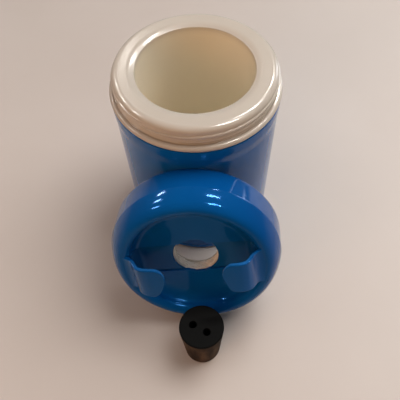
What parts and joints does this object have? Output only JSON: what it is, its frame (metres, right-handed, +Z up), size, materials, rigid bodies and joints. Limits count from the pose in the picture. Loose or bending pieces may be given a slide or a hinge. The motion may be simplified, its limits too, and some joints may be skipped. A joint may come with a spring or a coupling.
{
  "type": "foam-insulated calorimeter jar",
  "caption": "Wide-mouth foam-insulated jar with a threaded rim, a dished lid with a hole cut through it leaning on the jar, and a two-hole rubber stopper.",
  "frame": {"origin": "on the jar's axis, at the centre of the flat face that the jar stands on", "axes": "+Z up along the jar's axis; -Y from the jar towards the leaning lid and the stopper; +X to the right, seen from the stopper"},
  "size_m": [0.1237, 0.2148, 0.1512],
  "materials": {
    "blue_shell": "moulded, glossy",
    "blue_lid": "moulded, glossy",
    "blue_strip": "moulded, satin",
    "cream_liner": "moulded, semi-gloss",
    "foam": "rigid foam, sawn",
    "gasket": "soft, matt",
    "black_rubber": "moulded, matt"
  },
  "bodies": {
    "jar": {"outer_shell": "blue_shell", "base_cap": "blue_shell", "threaded_liner": "cream_liner", "insulation_foam": "foam"},
    "lid": {"lid_shell": "blue_lid", "slot_plate_left": "blue_strip", "slot_plate_right": "blue_strip", "lid_foam": "foam", "lid_inner_plate": "cream_liner", "lid_gasket": "gasket"},
    "stopper": {"rubber_stopper": "black_rubber"}
  },
  "joints": [
    {"name": "lid_lift", "type": "slide", "parent": "jar", "child": "lid", "axis": [-0.45, -0.085, 0.889], "range_m": [0, 0.2]},
    {"name": "stopper_lift", "type": "slide", "parent": "jar", "child": "stopper", "axis": [0, 0, 1], "range_m": [0, 0.08]}
  ]
}
